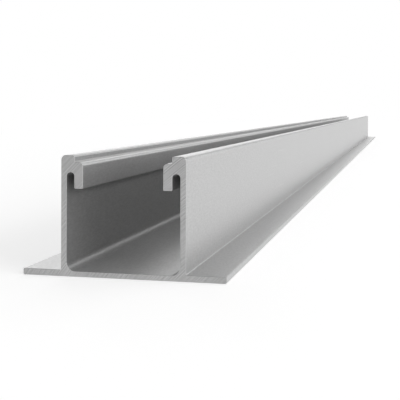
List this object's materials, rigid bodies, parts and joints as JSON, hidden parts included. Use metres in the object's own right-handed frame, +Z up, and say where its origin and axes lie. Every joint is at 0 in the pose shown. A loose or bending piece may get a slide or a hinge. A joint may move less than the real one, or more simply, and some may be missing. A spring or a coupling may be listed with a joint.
{
  "type": "solar mounting rail",
  "caption": "Low extruded rail with a flat flanged foot and two webs whose hooked heads turn inwards, to carry solar modules and their clamps.",
  "frame": {"origin": "centre of the flat underside, midway along the rail", "axes": "+Y along the rail's length, +X across it, +Z up from the underside to the open top"},
  "size_m": [0.0602, 1.2, 0.0348],
  "materials": {
    "extruded_aluminium": "mill finish as extruded, satin with fine die lines along the length, ends sawn square"
  },
  "bodies": {
    "root": {"rail": "extruded_aluminium"}
  },
  "joints": []
}
